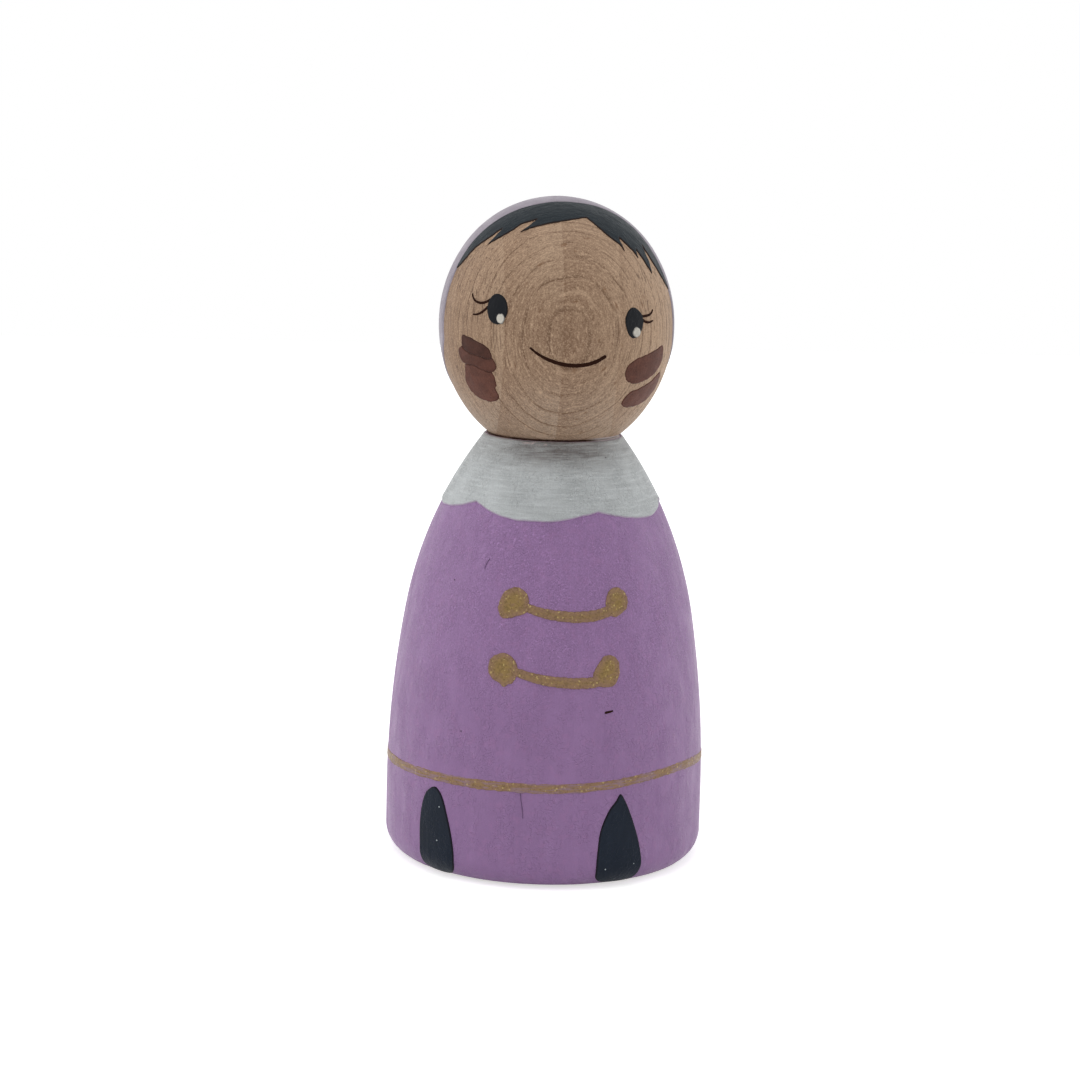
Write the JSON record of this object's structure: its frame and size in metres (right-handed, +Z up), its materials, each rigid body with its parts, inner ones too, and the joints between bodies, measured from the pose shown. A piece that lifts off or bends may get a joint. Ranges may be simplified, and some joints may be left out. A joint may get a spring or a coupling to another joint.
{
  "type": "peg doll",
  "caption": "Free-standing painted wooden peg doll: turned bell-shaped body and egg-shaped head on a hidden glued dowel, with collar, hood, hair, face, fastenings and boots in coats of paint.",
  "frame": {"origin": "Centre of the flat base, on the surface that the doll stands on.", "axes": "+Z is up along the turning axis, -Y is the way the doll faces, and +X is the doll's left."},
  "size_m": [0.0438, 0.0438, 0.09],
  "materials": {
    "turned_wood": "bare, finely sanded",
    "dowel_wood": "bare, milled with glue flutes",
    "lilac_paint": "satin, brushed on",
    "white_paint": "satin, brushed on thickly",
    "gold_paint": "metallic flake in clear binder",
    "boot_paint": "satin, brushed on",
    "hood_paint": "satin, brushed on",
    "hair_paint": "satin, brushed on",
    "eye_paint": "glossy, brushed on",
    "highlight_paint": "satin, dotted on",
    "line_paint": "satin, drawn with a fine brush",
    "cheek_paint": "satin, thin and translucent"
  },
  "bodies": {
    "root": {"body": "turned_wood", "head": "turned_wood", "neck_dowel": "dowel_wood", "coat_paint": "lilac_paint", "collar_paint": "white_paint", "upper_frog": "gold_paint", "lower_frog": "gold_paint", "hem_band": "gold_paint", "boot_right": "boot_paint", "boot_left": "boot_paint", "hood_paint": "hood_paint", "hair": "hair_paint", "eye_right": "eye_paint", "eye_left": "eye_paint", "eye_highlight_right": "highlight_paint", "eye_highlight_left": "highlight_paint", "lashes_right": "line_paint", "lashes_left": "line_paint", "smile": "line_paint", "cheek_right_top": "cheek_paint", "cheek_right_mid": "cheek_paint", "cheek_right_low": "cheek_paint", "cheek_left_top": "cheek_paint", "cheek_left_low": "cheek_paint"}
  },
  "joints": []
}
